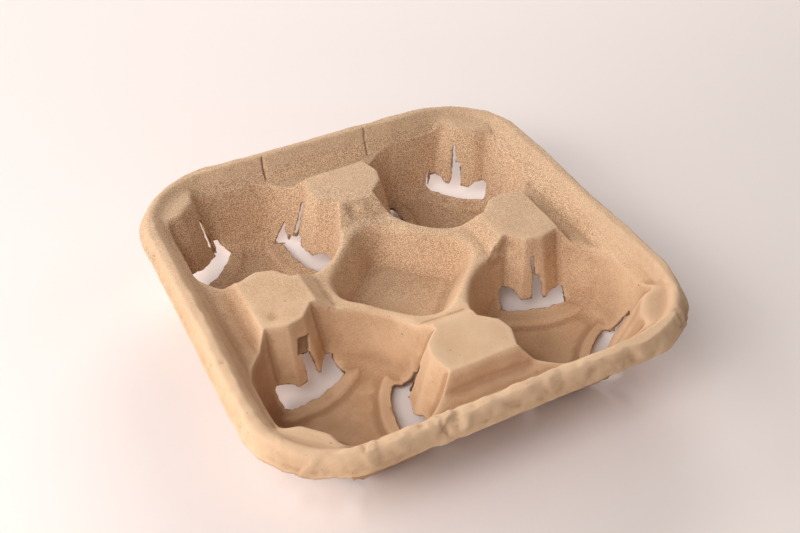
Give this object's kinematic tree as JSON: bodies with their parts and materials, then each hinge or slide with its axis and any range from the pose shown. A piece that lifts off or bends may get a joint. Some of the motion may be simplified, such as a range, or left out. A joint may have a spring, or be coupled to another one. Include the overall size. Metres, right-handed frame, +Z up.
{
  "type": "moulded pulp cup carrier",
  "caption": "Square moulded paper-pulp tray that holds takeaway cups in drafted wells with slit gripping fingers, round a small middle pocket.",
  "frame": {"origin": "centre of the tray on the surface that it stands on", "axes": "+Z up, X and Y along the straight sides of the rim"},
  "size_m": [0.214, 0.214, 0.045],
  "materials": {
    "moulded_pulp": "matt, fibrous and speckled"
  },
  "bodies": {
    "root": {"carrier_tray": "moulded_pulp"}
  },
  "joints": []
}
